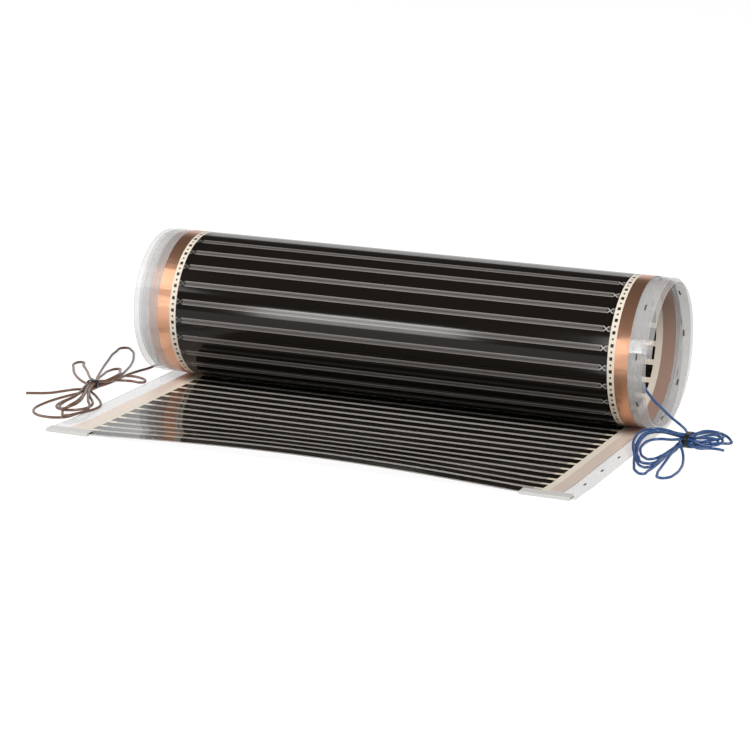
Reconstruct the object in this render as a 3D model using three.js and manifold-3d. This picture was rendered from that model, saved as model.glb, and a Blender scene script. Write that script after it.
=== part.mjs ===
// Underfloor heating film: a roll of printed film with its front end laid out flat.
// Millimetres. X runs along the roll, Y away from the viewer, Z up. The floor is z = 0.
import * as THREE from 'three';
import Module from 'manifold-3d';

const wasm = await Module();
wasm.setup();

// The film
const WIDTH = 500;
const FILM = 0.42;
const ROLL_R = 70;
const PITCH = 1.0;
const WRAP_SHIFTS = [-1.5, -11, -6, 2.5]; // how far each wrap sits off centre, outermost first
const GROOVE_X = 232; // the gaps between the wraps are cut this far in from each end
const ROLL_STEPS = 60;
const FRONT_Y = -257;

// The two insulating caps on the cut front edge
const CAP_LEFT_X = [-WIDTH / 2, -WIDTH / 2 + 42];
const CAP_RIGHT_X = [WIDTH / 2 - 50, WIDTH / 2 - 5];
const CAP_DEPTH = 12;
const CAP_HEIGHT = 3;
const CAP_WALL = 1;
const CAP_SLOT = 1.1;
const CAP_FRONT_Y = FRONT_Y - 1.6;
const LIFT = CAP_WALL + (CAP_SLOT - FILM) / 2; // height of the film's edge in the slots

// The leads
const LEAD_R = 1.25;
const BROWN_HANK_H = 7.5;
const BLUE_HANK_H = 10;
const TIE_OVER = 1; // the ties stand this far over the loops
const LOOP_H = 2.5;

function material(color, roughness) {
  return new THREE.MeshStandardMaterial({ color, roughness });
}

const FILM_LOOK = material(0x1e1a18, 0.3);
const CAP_LOOK = material(0xe0dedb, 0.45);
const BROWN = material(0x4a352c, 0.45);
const BLUE = material(0x1f3a6e, 0.45);
const TIE_LOOK = material(0x16161a, 0.5);

function signedVolume(geometry) {
  const p = geometry.attributes.position;
  const index = geometry.index;
  const count = index ? index.count : p.count;
  const at = (i) => new THREE.Vector3().fromBufferAttribute(p, index ? index.getX(i) : i);
  let sum = 0;
  for (let i = 0; i < count; i += 3) sum += at(i).dot(at(i + 1).cross(at(i + 2)));
  return sum / 6;
}

function welded(geometry) {
  const p = geometry.attributes.position;
  const index = geometry.index;
  const count = index ? index.count : p.count;
  const inward = signedVolume(geometry) < 0;
  const found = new Map();
  const points = [];
  const faces = [];
  for (let i = 0; i < count; i += 3) {
    const face = [];
    for (const k of inward ? [i, i + 2, i + 1] : [i, i + 1, i + 2]) {
      const j = index ? index.getX(k) : k;
      const xyz = [p.getX(j), p.getY(j), p.getZ(j)];
      const key = xyz.map((v) => Math.round(v * 1e4)).join(' ');
      if (!found.has(key)) {
        found.set(key, points.length / 3);
        points.push(...xyz);
      }
      face.push(found.get(key));
    }
    if (face[0] !== face[1] && face[1] !== face[2] && face[2] !== face[0]) faces.push(...face);
  }
  return { points, faces };
}

function toManifold(geometry) {
  const { points, faces } = welded(geometry);
  return new wasm.Manifold(
    new wasm.Mesh({
      numProp: 3,
      vertProperties: new Float32Array(points),
      triVerts: new Uint32Array(faces),
    }),
  );
}

function toGeometry(points, faces) {
  const geometry = new THREE.BufferGeometry();
  geometry.setAttribute('position', new THREE.Float32BufferAttribute(points, 3));
  geometry.setIndex([...faces]);
  return geometry;
}

function extruded(outline, length) {
  const shape = new THREE.Shape(outline.map(([u, v]) => new THREE.Vector2(u, v)));
  return new THREE.ExtrudeGeometry(shape, { depth: length, steps: 1, bevelEnabled: false });
}

// A section in Y and Z, drawn out along X between two places
function alongX(outline, x0, x1) {
  const geometry = extruded(outline, x1 - x0);
  const turn = new THREE.Matrix4().set(0, 0, 1, x0, 1, 0, 0, 0, 0, 1, 0, 0, 0, 0, 0, 1);
  return geometry.applyMatrix4(turn);
}

// The wound part: one turned solid with its bore, and the wraps stand out at both ends
function rollGeometry() {
  const wide = 1 / Math.cos(Math.PI / ROLL_STEPS);
  const half = WIDTH / 2;
  const right = [];
  const left = [];
  WRAP_SHIFTS.forEach((shift, i) => {
    const outer = ROLL_R - i * PITCH;
    const inner = outer - FILM;
    right.push([outer, half + shift], [inner, half + shift]);
    left.unshift([inner, -half + shift], [outer, -half + shift]);
    if (i < WRAP_SHIFTS.length - 1) {
      right.push([inner, GROOVE_X], [outer - PITCH, GROOVE_X]);
      left.unshift([outer - PITCH, -GROOVE_X], [inner, -GROOVE_X]);
    }
  });
  const ring = [...right, ...left, right[0]];
  const profile = ring.map(([r, x]) => new THREE.Vector2(r * wide, x));
  const geometry = new THREE.LatheGeometry(profile, ROLL_STEPS, Math.PI / ROLL_STEPS);
  return geometry.rotateZ(-Math.PI / 2).translate(0, 0, ROLL_R);
}

// The laid-out part: flat on the floor, its cut edge lifted into the caps
function tongueGeometry() {
  const under = [
    [2, 0], [-196, 0], [-212, 0.1 * LIFT], [-222, 0.35 * LIFT],
    [-232, 0.72 * LIFT], [-241, 0.95 * LIFT], [-246, LIFT], [FRONT_Y, LIFT],
  ];
  const over = under.map(([y, z]) => [y, z + FILM]).reverse();
  return alongX([...under, ...over], -WIDTH / 2, WIDTH / 2);
}

function heatingFilm() {
  const joined = toManifold(rollGeometry()).add(toManifold(tongueGeometry()));
  const mesh = joined.getMesh();
  return toGeometry(mesh.vertProperties, mesh.triVerts);
}

function endCap([x0, x1]) {
  const back = CAP_FRONT_Y;
  const mouth = CAP_FRONT_Y + CAP_DEPTH;
  const section = [
    [back, 0], [mouth, 0], [mouth, CAP_WALL], [back + CAP_WALL, CAP_WALL],
    [back + CAP_WALL, CAP_WALL + CAP_SLOT], [mouth, CAP_WALL + CAP_SLOT],
    [mouth, CAP_HEIGHT], [back, CAP_HEIGHT],
  ];
  return alongX(section, x0, x1);
}

function lead(route, steps) {
  const path = new THREE.CatmullRomCurve3(route.map((p) => new THREE.Vector3(...p)));
  const ring = [];
  for (let i = 0; i < 8; i += 1) {
    const a = (i * Math.PI) / 4;
    ring.push(new THREE.Vector2(LEAD_R * Math.cos(a), LEAD_R * Math.sin(a)));
  }
  const shape = new THREE.Shape(ring);
  return new THREE.ExtrudeGeometry(shape, { steps, bevelEnabled: false, extrudePath: path });
}

// The loops of a bundle as one flat body with round ends, from one end to the other
function hank([x0, y0], [x1, y1], radius, height) {
  const along = Math.atan2(y1 - y0, x1 - x0);
  const outline = [];
  for (let i = 0; i <= 8; i += 1) {
    const a = along - Math.PI / 2 + (i * Math.PI) / 8;
    outline.push([x1 + radius * Math.cos(a), y1 + radius * Math.sin(a)]);
  }
  for (let i = 0; i <= 8; i += 1) {
    const a = along + Math.PI / 2 + (i * Math.PI) / 8;
    outline.push([x0 + radius * Math.cos(a), y0 + radius * Math.sin(a)]);
  }
  return extruded(outline, height);
}

function block([x0, x1], [y0, y1], height) {
  return extruded([[x0, y0], [x1, y0], [x1, y1], [x0, y1]], height);
}

const BROWN_LEAD = [
  [-229, -64.3, 79], [-233, -64.4, 66], [-238, -60.8, 47.5], [-244, -51.8, 31],
  [-250, -37.8, 17.5], [-256, -22, 9.2], [-262, -11, 6.1], [-268, -8, 4],
  [-273, -13, 1.8], [-277, -25, 1.3], [-280, -45, 1.3], [-280, -70, 1.3],
  [-281, -88, 1.3], [-283, -98.7, 1.3],
];
const BROWN_TAIL = [[-296.6, -105, 1.3], [-305, -107, 1.3], [-320, -130, 1.3], [-332, -151, 1.3]];
const BLUE_LEAD = [
  [229, -64.3, 79], [235, -64.7, 73], [240, -64.4, 63.5], [245.4, -62.7, 54],
  [250.5, -59.8, 45.7], [255.5, -57.5, 39.2], [261, -53, 32.5], [267, -47, 24.5],
  [273.5, -40.5, 17.5], [279, -36.8, 13.3], [285, -36.3, 9],
];
const BLUE_TAIL = [[288.1, -58.4, 1.3], [297, -57, 1.3], [307, -54, 1.3], [319, -55, 1.3]];

const part = new THREE.Group();
part.name = 'underfloor_heating_film';

function add(name, geometry, look) {
  const { points, faces } = welded(geometry);
  const mesh = new THREE.Mesh(toGeometry(points, faces), look);
  mesh.name = name;
  part.add(mesh);
}

add('heating_film', heatingFilm(), FILM_LOOK);
add('end_cap_left', endCap(CAP_LEFT_X), CAP_LOOK);
add('end_cap_right', endCap(CAP_RIGHT_X), CAP_LOOK);
add('brown_lead', lead(BROWN_LEAD, 32), BROWN);
add('brown_hank_rear', hank([-296, -87], [-326, 36], 12, BROWN_HANK_H), BROWN);
add('brown_hank_side', hank([-316.6, -80], [-343, -31], 6, LOOP_H), BROWN);
add('brown_hank_front', hank([-283, -129.3], [-274, -196], 20, BROWN_HANK_H), BROWN);
add('brown_tie', block([-296, -281], [-109, -99.3], BROWN_HANK_H + TIE_OVER), TIE_LOOK);
add('brown_tail', lead(BROWN_TAIL, 8), BROWN);
add('blue_lead', lead(BLUE_LEAD, 20), BLUE);
add('blue_hank_left', hank([267.3, -58], [267.3, -130], 15.5, BLUE_HANK_H), BLUE);
add('blue_hank_front', hank([288.7, -88], [295, -150], 5.5, LOOP_H), BLUE);
add('blue_hank_right', hank([301.8, -8], [301.8, -38], 14, BLUE_HANK_H), BLUE);
add('blue_tie', block([283.5, 287.5], [-60, -38], BLUE_HANK_H + TIE_OVER), TIE_LOOK);
add('blue_tail', lead(BLUE_TAIL, 6), BLUE);

export default part;
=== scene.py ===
import math
import bmesh
import bpy
from mathutils import Matrix, Vector


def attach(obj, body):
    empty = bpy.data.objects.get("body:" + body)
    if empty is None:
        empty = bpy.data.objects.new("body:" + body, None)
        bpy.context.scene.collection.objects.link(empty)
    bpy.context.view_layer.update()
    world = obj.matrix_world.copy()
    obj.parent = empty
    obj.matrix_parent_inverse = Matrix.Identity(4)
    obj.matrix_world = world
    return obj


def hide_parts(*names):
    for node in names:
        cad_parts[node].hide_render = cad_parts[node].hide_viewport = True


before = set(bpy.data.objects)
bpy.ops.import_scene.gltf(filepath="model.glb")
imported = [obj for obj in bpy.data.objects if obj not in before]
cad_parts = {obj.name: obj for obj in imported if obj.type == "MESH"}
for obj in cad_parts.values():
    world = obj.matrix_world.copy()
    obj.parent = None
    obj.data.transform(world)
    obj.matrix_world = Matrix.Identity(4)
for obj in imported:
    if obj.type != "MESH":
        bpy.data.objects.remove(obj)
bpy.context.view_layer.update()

scene = bpy.context.scene
scene.view_settings.view_transform = "Standard"

# The camera stands 2.6 m away, to the right of the roll and a little above it, and looks down
# 14 degrees through a long lens, as a product photographer's does.
eye = Vector((0.91571, -2.29689, 0.63783))
right = Vector((0.92168, 0.38759, 0.01687))
up = Vector((-0.10883, 0.21658, 0.97018))
ahead = Vector((-0.37238, 0.89603, -0.24180))
camera = bpy.data.objects.new("camera", bpy.data.cameras.new("camera"))
camera.data.lens = 129.35
camera.data.sensor_width = 36
camera.data.clip_end = 60
camera.matrix_world = Matrix((
    (right.x, up.x, -ahead.x, eye.x),
    (right.y, up.y, -ahead.y, eye.y),
    (right.z, up.z, -ahead.z, eye.z),
    (0, 0, 0, 1),
))
scene.collection.objects.link(camera)
scene.camera = camera


# The leads: brown and blue insulated wires, 2.5 mm thick. Each comes from the film's inner end,
# runs down the inside of the roll and out at its end, and lies in tied loops on the floor.
BROWN = [
    (-229, -64.3, 79), (-233, -64.4, 66), (-238, -60.8, 47.5), (-244, -51.8, 31), (-250, -37.8, 17.5),
    (-256, -22, 9.2), (-262, -11, 6.1), (-268, -8, 4), (-273, -13, 1.8), (-277, -25, 1.3),
    (-280, -45, 1.3), (-280, -70, 1.3), (-281, -88, 1.3), (-283, -99, 1.3), (-283, -109, 1.3),
    (-287, -128, 1.3), (-291, -140, 1.3), (-296, -160, 1.3), (-298, -180, 1.3), (-297, -195, 1.3),
    (-292, -207, 1.3), (-284, -215, 1.3), (-274, -218, 1.3), (-264, -217, 1.3), (-256, -211, 1.3),
    (-252, -195, 1.3), (-248, -183, 1.3), (-246, -174, 1.3), (-247, -162, 1.3), (-254, -149, 1.3),
    (-266, -134, 1.3), (-285.6, -109, 1.3), (-285.6, -99, 1.3), (-295, -81, 2), (-309, -47, 1.3),
    (-324, -4, 1.3), (-335, 33, 1.3), (-335, 53, 1.3), (-324, 46, 1.3), (-309, 22, 1.3),
    (-296, -7, 2), (-285, -38, 3.9), (-280, -59, 4.2), (-279, -77, 4), (-282, -92, 3),
    (-288.2, -99, 1.3), (-288.2, -109, 1.3), (-284, -137, 2.5), (-282, -156, 3), (-284, -171, 2),
    (-282, -182, 1.5), (-274, -189, 1.5), (-263, -190, 2), (-256, -184, 2), (-252, -176, 2.5),
    (-253, -166, 3), (-260, -154, 3), (-269, -142, 3.6), (-284.3, -109, 3.6), (-284.3, -99, 3.6),
    (-291, -86, 4), (-298, -62, 3), (-303, -38, 1.5), (-300, -29, 1.3), (-291, -41, 3),
    (-279, -66, 6.4), (-278, -81, 6.4), (-280, -93, 5.5), (-286.9, -99, 3.6), (-286.9, -109, 3.6),
    (-274, -147, 4.5), (-269, -166, 4.5), (-268, -184, 3.9), (-267, -196, 3), (-264, -203, 2.5),
    (-254, -214, 3.8), (-249, -206, 3.8), (-246, -193, 4), (-250, -177, 4.5), (-258, -165, 5.5),
    (-283, -109, 5.9), (-283, -99, 5.9), (-278, -90, 5), (-277, -80, 5), (-277, -66, 4),
    (-275, -50, 1.6), (-263, -51, 1.3), (-253, -60, 1.3), (-253, -66, 1.3), (-266, -66, 1.3),
    (-275, -73, 2.5), (-279, -88, 5), (-285.6, -99, 5.9), (-285.6, -109, 5.9), (-270, -150, 7),
    (-262, -176, 6.5), (-262, -190, 6.2), (-268, -195, 4.2), (-275, -188, 4), (-277, -175, 5),
    (-276, -158, 6), (-288.2, -109, 5.9), (-288.2, -99, 5.9), (-300, -84, 4.5), (-320, -54, 2.5),
    (-336, -32, 1.5), (-345, -20, 1.3), (-348, -27, 1.3), (-340, -45, 1.3), (-322, -72, 1.3),
    (-304, -90, 1.3), (-290.8, -99, 1.3), (-290.8, -109, 1.3), (-291, -119, 2.5), (-294, -129, 3.9),
    (-302, -136, 3), (-312, -141, 1.5), (-332, -151, 1.3),
]
BLUE = [
    (229, -64.3, 79), (235, -64.7, 73), (240, -64.4, 63.5), (245.4, -62.7, 54), (250.5, -59.8, 45.7),
    (255.5, -57.5, 39.2), (261, -53, 32.5), (267, -47, 24.5), (273.5, -41.5, 17.5), (279, -40.5, 13),
    (283, -41, 9), (288, -38, 9), (293, -26, 9), (300, -17, 7), (308, -14, 4.5),
    (316, -20, 1.8), (318, -28, 1.3), (311, -32, 1.3), (299, -41, 1.3), (288, -50, 1.3),
    (283, -50, 1.3), (281, -77, 2), (279, -102, 1.5), (279, -126, 1.3), (278, -147, 1.3),
    (276, -158, 1.3), (270, -154, 1.3), (261, -133, 1.8), (255, -113, 4), (248, -95, 7),
    (244, -76, 9.5), (245, -57, 11), (252, -47, 11.5), (263, -46, 11.5), (274, -50, 11),
    (283, -44, 9), (288, -42, 9), (291, -33, 8), (295, -20, 6.5), (301, -12, 5),
    (307, -14, 4), (308, -26, 4), (300, -39, 4), (288, -53, 3.8), (283, -53, 3.8),
    (281, -82, 4), (279, -107, 3.8), (279, -128, 3.8), (275, -138, 2), (269, -136, 1.3),
    (261, -125, 2.5), (255, -105, 5), (250, -83, 7), (249, -65, 8.5), (252, -51, 9),
    (260, -46, 9), (270, -49, 9), (283, -46, 6.4), (288, -45, 6.4), (292, -38, 6),
    (297, -26, 5.5), (303, -19, 4.5), (309, -23, 2.5), (310, -34, 1.3), (304, -44, 1.3),
    (296, -51, 1.3), (288, -56, 1.3), (283, -56, 1.3), (280, -86, 1.3), (279, -117, 3.9),
    (276, -131, 3.8), (269, -132, 3.5), (260, -117, 4), (251, -96, 5), (248, -77, 9),
    (250, -60, 11), (257, -50, 11), (268, -50, 11), (283, -49, 8.9), (288, -48, 8.9),
    (292, -44, 7), (298, -34, 5), (304, -29, 3.8), (308, -33, 2.5), (303, -42, 2.5),
    (288, -47, 3.8), (283, -47, 3.8), (281, -88, 6), (278, -108, 5), (272, -119, 4),
    (264, -112, 2.5), (254, -92, 2), (250, -72, 2.5), (252, -56, 3), (259, -50, 3.5),
    (270, -51, 4.5), (283, -50, 6.4), (288, -50, 6.4), (295, -48, 5), (302, -42, 3.8),
    (306, -45, 2.5), (300, -50, 2.5), (288, -52.5, 6.4), (283, -52.5, 6.4), (285, -75, 9),
    (292, -90, 5), (297, -105, 2), (301, -125, 1.3), (302, -147, 1.3), (299, -160, 1.3),
    (293, -163, 1.3), (288, -152, 1.3), (285, -131, 1.3), (285, -115, 4), (284, -95, 5.5),
    (283, -57.5, 3.8), (288, -57.5, 3.8), (297, -57, 1.3), (305, -53, 1.3), (313, -52, 1.3),
    (319, -54, 1.3),
]
WIRE = 0.00125


def colour(code):
    """An sRGB hex colour as linear RGBA."""
    parts = [int(code[i:i + 2], 16) / 255 for i in (1, 3, 5)]
    return [c / 12.92 if c <= 0.04045 else ((c + 0.055) / 1.055) ** 2.4 for c in parts] + [1]


def node(tree, kind, settings=None, **inputs):
    """Adds a shader node; an input is a value or another node's socket."""
    made = tree.nodes.new("ShaderNode" + kind)
    for name, value in (settings or {}).items():
        setattr(made, name, value)
    for name, value in inputs.items():
        key = int(name[1:]) if name[0] == "i" and name[1:].isdigit() else name.replace("_", " ")
        if isinstance(value, bpy.types.NodeSocket):
            tree.links.new(value, made.inputs[key])
        else:
            made.inputs[key].default_value = value
    return made


def material(name):
    """A new material with an empty tree, and its output node."""
    made = bpy.data.materials.new(name)
    made.use_nodes = True
    made.node_tree.nodes.clear()
    return made, made.node_tree, node(made.node_tree, "OutputMaterial")


def polished(name, base, rough):
    """Plain moulded plastic."""
    made, tree, out = material(name)
    shader = node(tree, "BsdfPrincipled", Base_Color=colour(base), Roughness=rough, IOR=1.5)
    tree.links.new(shader.outputs[0], out.inputs[0])
    return made


def wire(name, route, look):
    """One smooth wire through listed points, given in millimetres."""
    line = bpy.data.curves.new(name, "CURVE")
    line.dimensions = "3D"
    line.bevel_depth = WIRE
    line.bevel_resolution = 3
    line.resolution_u = 8
    line.use_fill_caps = True
    spline = line.splines.new("BEZIER")
    spline.bezier_points.add(len(route) - 1)
    for point, place in zip(spline.bezier_points, route):
        point.co = Vector(place) / 1000
        point.handle_left_type = point.handle_right_type = "AUTO"
    line.materials.append(look)
    made = bpy.data.objects.new(name, line)
    scene.collection.objects.link(made)
    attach(made, "root")
    return made


brown_insulation = polished("brown_insulation", "#64483a", 0.3)
blue_insulation = polished("blue_insulation", "#264675", 0.3)
brown_wire = wire("brown_wire", BROWN, brown_insulation)
blue_wire = wire("blue_wire", BLUE, blue_insulation)
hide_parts("brown_lead", "brown_hank_rear", "brown_hank_side", "brown_hank_front", "brown_tail")
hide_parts("blue_lead", "blue_hank_left", "blue_hank_front", "blue_hank_right", "blue_tail")

# The ties: a narrow black strap around the waist of each bundle. It is soft plastic, pulled
# tight so that the loops stay together until the leads are used.
black_strap = polished("black_strap", "#101013", 0.4)


def strap(name, centre, half, width, turned):
    """A flat band around a bundle; its section is a rounded box, half wide and high."""
    made = bmesh.new()
    rings = []
    for grow, side in ((0, -1), (0.0009, -1), (0.0009, 1), (0, 1)):
        ring = []
        for i in range(40):
            a = 2 * math.pi * i / 40
            c, s = math.cos(a), math.sin(a)
            p = abs(c) ** 0.6 * math.copysign(half[0] + grow, c)
            z = abs(s) ** 0.6 * math.copysign(half[1] + grow, s)
            q = side * width / 2
            xy = (q, p) if turned else (p, q)
            ring.append(made.verts.new((centre[0] + xy[0], centre[1] + xy[1], centre[2] + z)))
        rings.append(ring)
    for k in range(4):
        one, two = rings[k], rings[(k + 1) % 4]
        for i in range(40):
            made.faces.new((one[i], one[(i + 1) % 40], two[(i + 1) % 40], two[i]))
    bmesh.ops.recalc_face_normals(made, faces=made.faces)
    mesh = bpy.data.meshes.new(name)
    made.to_mesh(mesh)
    made.free()
    mesh.materials.append(black_strap)
    thing = bpy.data.objects.new(name, mesh)
    scene.collection.objects.link(thing)
    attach(thing, "root")
    return thing


brown_strap = strap("brown_strap", (-0.2864, -0.104, 0.0044), (0.0047, 0.0034), 0.004, False)
blue_strap = strap("blue_strap", (0.2855, -0.0493, 0.0061), (0.0099, 0.0052), 0.0042, True)
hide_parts("brown_tie")
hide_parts("blue_tie")

# The heating film: one sheet of clear polyester 0.42 mm thick, printed with black carbon strips
# between two copper busbars. Its front end lies flat and the rest is wound back over itself.
HALF_WIDTH = 250
COLUMNS = 50
FILM = 0.42
RADIUS = 70
PITCH = 1.0
FRONT = -257
LIFT = 1.34
TURNS = 3.73
STRIP = 17.58
LINE_HALF = 2.6
CARBON_EDGE = 214.5
PASTE_EDGE = 221.0
COPPER_EDGE = 233.5
FLAT_LENGTH = 265.0
DASH_ROW = 241.0


def eased(value, table):
    """Goes smoothly from one listed value to the next."""
    for (a, p), (b, q) in zip(table, table[1:]):
        if value <= b:
            t = max(0, (value - a) / (b - a))
            return p + (q - p) * t * t * (3 - 2 * t)
    return table[-1][1]


UNDER = [(-257, LIFT), (-246, LIFT), (-205, 0), (0, 0)]
SHIFT = [
    (0, 0), (0.15, -0.5), (0.5, -1.5), (0.85, -1.5), (1.5, -11), (2.1, -11), (2.75, -6), (3.2, 2.5), (4, 2.5),
]
PHASE = [(0, 0), (0.08, 0), (0.45, -6.15), (4, -6.15)]

stations = []
y = FRONT
while y < -0.5:
    stations.append(("flat", y))
    y += 3.4
count = int(TURNS * 144)
stations += [("wound", TURNS * i / count) for i in range(count + 1)]
columns = [-HALF_WIDTH + 2 * HALF_WIDTH * i / COLUMNS for i in range(COLUMNS + 1)]

film = bmesh.new()
web = film.loops.layers.uv.new("web")
rows = []
for kind, t in stations:
    row = []
    for x in columns:
        if kind == "flat":
            arch = max(0, 1 - (x / 203) ** 2) ** 1.2 * eased(t, [(-257, 6.4), (-250, 6.2), (-130, 0), (0, 0)])
            z = eased(t, UNDER) + arch
            outer, inner = (x, t, z), (x, t, z + FILM)
            place = (x, t - FRONT)
        else:
            a = 2 * math.pi * t
            s = eased(t, SHIFT)
            r = RADIUS - PITCH * t
            outer = (x + s, r * math.sin(a), RADIUS - r * math.cos(a))
            r -= FILM
            inner = (x + s, r * math.sin(a), RADIUS - r * math.cos(a))
            wound = 2 * math.pi * (RADIUS - FILM / 2) * t - math.pi * PITCH * t * t
            place = (x, -FRONT + wound + eased(t, PHASE))
        row.append([film.verts.new(Vector(p) / 1000) for p in (outer, inner)] + [place])
    rows.append(row)


def patch(corners, places, look, smooth):
    """One face of the sheet, with its place on the flat sheet as its UV."""
    face = film.faces.new(corners)
    face.material_index = look
    face.smooth = smooth
    for loop, place in zip(face.loops, places):
        loop[web].uv = (place[0] / 1000, place[1] / 1000)


last = len(columns) - 1
for one, two in zip(rows, rows[1:]):
    for i in range(last):
        p, q, r, s = one[i], one[i + 1], two[i + 1], two[i]
        spots = [p[2], q[2], r[2], s[2]]
        patch([p[1], q[1], r[1], s[1]], spots, 1, True)
        patch([s[0], r[0], q[0], p[0]], spots[::-1], 0, True)
    for i, turned in ((0, False), (last, True)):
        ring = [one[i], two[i]]
        corners = [ring[0][0], ring[0][1], ring[1][1], ring[1][0]]
        spots = [ring[0][2], ring[0][2], ring[1][2], ring[1][2]]
        if turned:
            corners, spots = corners[::-1], spots[::-1]
        patch(corners, spots, 2, False)
for row, turned in ((rows[0], False), (rows[-1], True)):
    for i in range(last):
        corners = [row[i][0], row[i + 1][0], row[i + 1][1], row[i][1]]
        spots = [row[i][2], row[i + 1][2], row[i + 1][2], row[i][2]]
        if turned:
            corners, spots = corners[::-1], spots[::-1]
        patch(corners, spots, 2, False)
for edge in film.edges:
    if len({face.material_index for face in edge.link_faces}) > 1:
        edge.smooth = False
film_mesh = bpy.data.meshes.new("heating_film_sheet")
film.to_mesh(film_mesh)
film.free()


def film_face(name, outside):
    """One printed face of the sheet: strips, silver paste, busbar and clear margin by its UV, with painted shade and
    painted light on the inner busbar and a painted highlight along the clear lines' edges.
    """
    made, tree, out = material(name)
    flat = node(tree, "SeparateXYZ", Vector=node(tree, "UVMap", {"uv_map": "web"}).outputs[0])

    def m(operation, a, b=0.0, c=0.0):
        return node(tree, "Math", {"operation": operation}, i0=a, i1=b, i2=c).outputs[0]

    def over(mask, a, b):
        return node(tree, "Mix", {"data_type": "RGBA"}, i0=mask, i6=a, i7=b).outputs[2]

    across = m("MULTIPLY", flat.outputs[0], 1000.0)
    along = m("MULTIPLY", flat.outputs[1], 1000.0)
    far = m("ABSOLUTE", across)
    beside = m("MULTIPLY", m("SUBTRACT", m("FRACT", m("ADD", m("DIVIDE", along, STRIP), 0.5)), 0.5), STRIP)
    off = m("ABSOLUTE", beside)
    field = m("LESS_THAN", far, CARBON_EDGE)
    gap = m("MULTIPLY", m("LESS_THAN", off, LINE_HALF), field)
    # on the outer face a lighter rim along both edges of each clear line is a painted highlight
    highlight_rim = m("MULTIPLY", m("GREATER_THAN", off, 1.9), gap)
    dash = m("MULTIPLY", m("LESS_THAN", off, 0.55), m("LESS_THAN", m("FRACT", m("DIVIDE", across, 2.4)), 0.6))
    base = over(gap, colour("#15120f"), colour("#5c5855" if outside else "#a39e98"))
    base = over(highlight_rim, base, colour("#827d79" if outside else "#a39e98"))
    base = over(m("MULTIPLY", dash, gap), base, colour("#2c2927" if outside else "#7d7873"))
    # small crosses close each clear line at both ends
    for place, reach, light in ((210.0, 2.8, "#9c9894"), (-210.5, 2.6, "#55514e")):
        mx = m("DIVIDE", m("ABSOLUTE", m("SUBTRACT", across, place)), reach)
        box = m("MULTIPLY", m("LESS_THAN", mx, 1.0), m("LESS_THAN", off, LINE_HALF))
        stroke = m("LESS_THAN", m("ABSOLUTE", m("SUBTRACT", mx, m("DIVIDE", off, LINE_HALF))), 0.26)
        if outside:
            base = over(box, base, over(stroke, colour("#15120f"), colour(light)))
    if not outside:
        finger = m("MULTIPLY", m("MULTIPLY", m("GREATER_THAN", far, 207.0), field), m("LESS_THAN", off, LINE_HALF))
        base = over(finger, base, colour("#d6cab8"))
    silver = m("MULTIPLY", m("GREATER_THAN", far, CARBON_EDGE), m("LESS_THAN", far, PASTE_EDGE))
    paste = colour("#cfc5b6" if outside else "#d3c9ba")
    if outside:
        step = m("MULTIPLY", m("SUBTRACT", m("FRACT", m("DIVIDE", along, STRIP / 3)), 0.5), STRIP / 3)
        big = m("GREATER_THAN", m("FRACT", m("DIVIDE", along, STRIP * 2 / 3)), 0.5)
        half = m("MULTIPLY_ADD", big, 0.6, 0.85)
        square = m("MULTIPLY", m("LESS_THAN", m("ABSOLUTE", step), m("MULTIPLY", half, 1.1)),
                   m("LESS_THAN", m("ABSOLUTE", m("SUBTRACT", far, 217.7)), half))
        paste = over(square, paste, colour("#1a1512"))
    base = over(silver, base, paste)
    copper = m("MULTIPLY", m("GREATER_THAN", far, PASTE_EDGE), m("LESS_THAN", far, COPPER_EDGE))
    foil_and_painted_shade = colour("#cf9c7e")
    # on the inner face the busbar is one foil painted in two tones: darker inside the roll as painted shade, paler on
    # the flat front end as painted light
    if not outside:
        foil_and_painted_shade = over(m("LESS_THAN", along, FLAT_LENGTH), colour("#a88a7c"), colour("#dccabd"))
    base = over(copper, base, foil_and_painted_shade)
    margin = m("GREATER_THAN", far, COPPER_EDGE)
    base = over(margin, base, colour("#c9c8c6" if outside else "#b2aead"))
    # a row of plain dashes runs along the right-hand margin
    row = m("LESS_THAN", m("ABSOLUTE", m("SUBTRACT", across, DASH_ROW)), 0.7)
    dashes = m("MULTIPLY", row, m("LESS_THAN", m("FRACT", m("DIVIDE", along, 47.0)), 0.13))
    base = over(dashes, base, colour("#4c4846"))
    rough = m("ADD", m("MULTIPLY", silver, 0.3), m("MULTIPLY_ADD", copper, 0.2, 0.08))
    stretched = node(tree, "CombineXYZ", X=m("MULTIPLY", across, 0.02), Y=m("MULTIPLY", along, 0.28))
    ripple = node(tree, "TexNoise", Vector=stretched.outputs[0], Scale=1.0, Detail=2.0).outputs[0]
    bump = node(tree, "Bump", Height=m("MULTIPLY", ripple, copper), Strength=0.25, Distance=0.001).outputs[0]
    solid = m("MAXIMUM", dashes, m("SUBTRACT", 1.0, m("MULTIPLY", margin, 0.7)))
    shader = node(
        tree, "BsdfPrincipled", Base_Color=base, Roughness=rough, IOR=1.57, Specular_IOR_Level=0.2 if outside else 0.5,
        Metallic=m("MULTIPLY", copper, 0.9 if outside else 0.2),
        Alpha=solid, Normal=bump,
    )
    tree.links.new(shader.outputs[0], out.inputs[0])
    return made


film_mesh.materials.append(film_face("printed_film_outer_face", True))
film_mesh.materials.append(film_face("printed_film_inner_face", False))
film_mesh.materials.append(polished("film_cut_edge", "#b8b6b6", 0.5))
film_object = bpy.data.objects.new("heating_film_sheet", film_mesh)
scene.collection.objects.link(film_object)
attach(film_object, "root")
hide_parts("heating_film")

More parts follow.
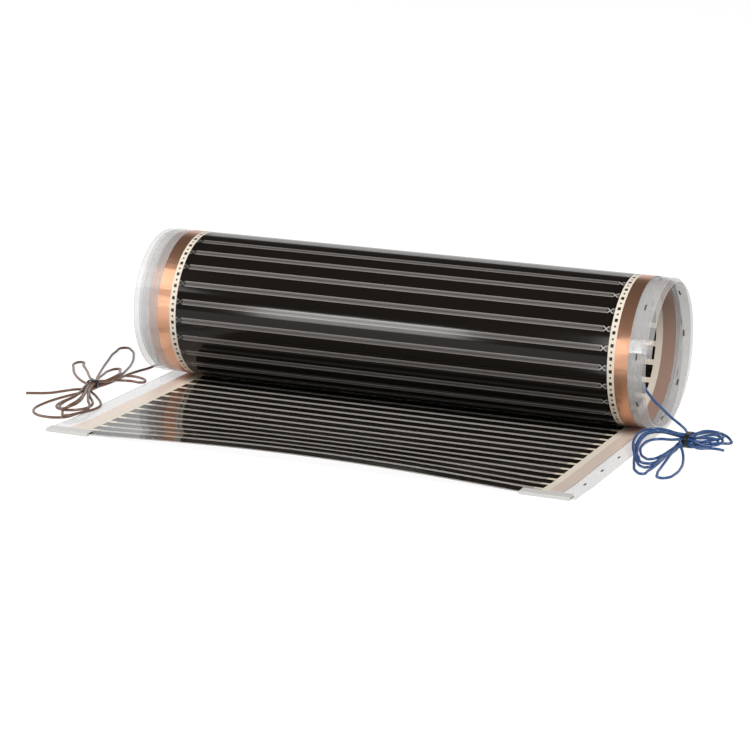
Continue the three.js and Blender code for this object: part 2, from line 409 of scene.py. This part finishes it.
# The end caps: two white moulded clips with a U-shaped section. They are pushed over the cut
# front edge and insulate the ends of the busbars.
white_cap = polished("white_cap", "#bcbab7", 0.35)
SECTION = [(0, 0), (12, 0), (12, 1), (1, 1), (1, 2.1), (12, 2.1), (12, 3), (0, 3)]
CAP_BACK = FRONT - 1.6
LEFT_CAP = (-HALF_WIDTH, -HALF_WIDTH + 42)
RIGHT_CAP = (HALF_WIDTH - 50, HALF_WIDTH - 5)
for name, (start, end), cad in (
    ("cap_left", LEFT_CAP, "end_cap_left"),
    ("cap_right", RIGHT_CAP, "end_cap_right"),
):
    clip = bmesh.new()
    outline = [clip.verts.new((start / 1000, (CAP_BACK + q) / 1000, z / 1000)) for q, z in SECTION]
    drawn = bmesh.ops.extrude_face_region(clip, geom=[clip.faces.new(outline)])["geom"]
    bmesh.ops.translate(clip, verts=[v for v in drawn if isinstance(v, bmesh.types.BMVert)],
                        vec=((end - start) / 1000, 0, 0))
    bmesh.ops.recalc_face_normals(clip, faces=clip.faces)
    bmesh.ops.bevel(clip, geom=list(clip.edges), offset=0.00022, offset_type="OFFSET", segments=2,
                    profile=0.5, affect="EDGES", material=-1, clamp_overlap=True)
    clip_mesh = bpy.data.meshes.new(name)
    clip.to_mesh(clip_mesh)
    clip.free()
    clip_mesh.materials.append(white_cap)
    cap = bpy.data.objects.new(name, clip_mesh)
    scene.collection.objects.link(cap)
    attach(cap, "root")
    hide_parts(cad)

# The floor: a plain white studio table, lit from below, so that it glows a little and takes
# only faint shadows.
made, tree, out = material("studio_white")
sheet = node(tree, "BsdfDiffuse", Color=colour("#6c6c6c"))
glow = node(tree, "Emission", Color=colour("#ffffff"), Strength=0.95)
both = node(tree, "AddShader", i0=sheet.outputs[0], i1=glow.outputs[0])
tree.links.new(both.outputs[0], out.inputs[0])
table = bmesh.new()
bmesh.ops.create_grid(table, x_segments=1, y_segments=1, size=14)
bmesh.ops.translate(table, verts=table.verts, vec=(0, 6, -0.0002))
floor_mesh = bpy.data.meshes.new("floor")
table.to_mesh(floor_mesh)
table.free()
floor_mesh.materials.append(made)
floor = bpy.data.objects.new("floor", floor_mesh)
scene.collection.objects.link(floor)

# The room: a dark studio with a white backdrop low down behind the object, which the flat film
# mirrors, and five softboxes around it.
world = bpy.data.worlds.new("studio")
scene.world = world
world.use_nodes = True
tree = world.node_tree
tree.nodes.clear()
way = node(tree, "SeparateXYZ", Vector=node(tree, "TexCoord").outputs["Generated"])
soft = {"interpolation_type": "SMOOTHSTEP"}
low = node(tree, "MapRange", soft, Value=way.outputs[2], From_Min=0.50, From_Max=0.30)
back = node(tree, "MapRange", soft, Value=way.outputs[1], From_Min=0.0, From_Max=0.4)
level = node(tree, "Math", {"operation": "MULTIPLY"}, i0=low.outputs[0], i1=back.outputs[0])
level = node(tree, "Math", {"operation": "MULTIPLY_ADD"}, i0=level.outputs[0], i1=0.95, i2=0.05)
sky = node(tree, "Background", Color=colour("#ffffff"), Strength=level.outputs[0])
tree.links.new(sky.outputs[0], node(tree, "OutputWorld").inputs[0])


def softbox(name, place, target, size, power):
    """A rectangular studio light that faces a point."""
    lamp = bpy.data.lights.new(name, "AREA")
    lamp.shape = "RECTANGLE"
    lamp.size, lamp.size_y = size
    lamp.energy = power
    held = bpy.data.objects.new(name, lamp)
    held.matrix_world = (Vector(place) - Vector(target)).to_track_quat("Z", "Y").to_matrix().to_4x4()
    held.matrix_world.translation = Vector(place)
    scene.collection.objects.link(held)


softbox("front_softbox", (-0.96, -2.3, 0.43), (-0.96, 0, 0.1), (0.42, 0.65), 8.5)
softbox("right_softbox", (-0.468, -2.3, 0.86), (-0.468, 0, 0.1), (0.03, 0.83), 3.4)
softbox("left_high_softbox", (-1.39, -1.36, 1.4), (-1.39, -0.29, -0.08), (0.46, 1.2), 8.7)
softbox("key_right", (2.2, -1.6, 2.4), (0, -0.1, 0), (1.5, 1.5), 135)
softbox("key_left", (-2.6, -0.8, 1.7), (0, -0.1, 0), (1.2, 1.2), 60)
